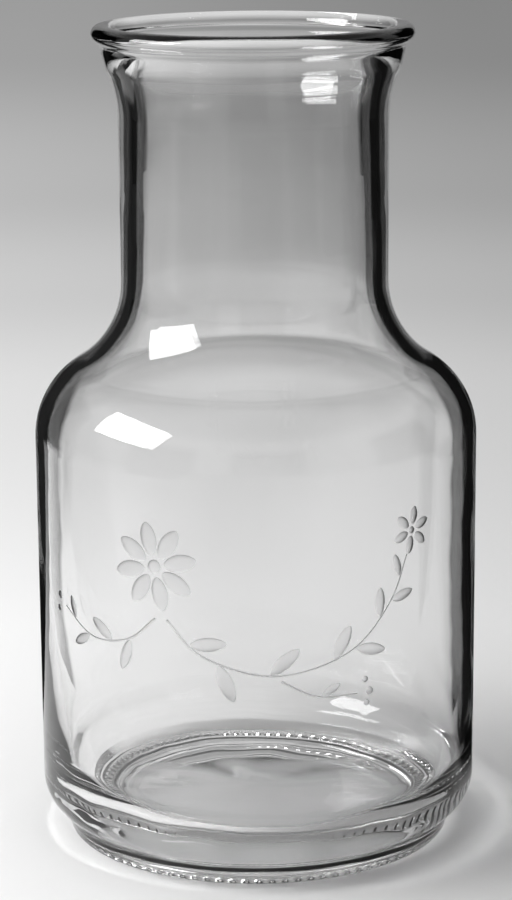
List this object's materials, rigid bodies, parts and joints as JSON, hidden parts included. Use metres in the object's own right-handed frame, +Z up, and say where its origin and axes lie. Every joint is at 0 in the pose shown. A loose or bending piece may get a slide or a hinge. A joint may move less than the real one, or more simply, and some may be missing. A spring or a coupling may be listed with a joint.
{
  "type": "carafe",
  "caption": "Clear glass carafe with a cylindrical body, round shoulders, a straight neck, a flared lip with a rolled rim and a knurled foot, for serving and pouring drinks.",
  "frame": {"origin": "centre of the ring that the carafe stands on, on the table", "axes": "+Z up along the axis of the vessel, -Y towards the viewer of the decorated side, +X to the viewer's right"},
  "size_m": [0.108, 0.108, 0.1988],
  "materials": {
    "clear_glass": "clear, fire-polished",
    "cut_glass": "ground matt, unpolished"
  },
  "bodies": {
    "root": {"bearing_ring": "clear_glass", "base": "clear_glass", "heel": "clear_glass", "body_wall": "clear_glass", "shoulder": "clear_glass", "throat": "clear_glass", "neck": "clear_glass", "lip": "clear_glass", "rim_bead": "clear_glass"}
  },
  "joints": []
}
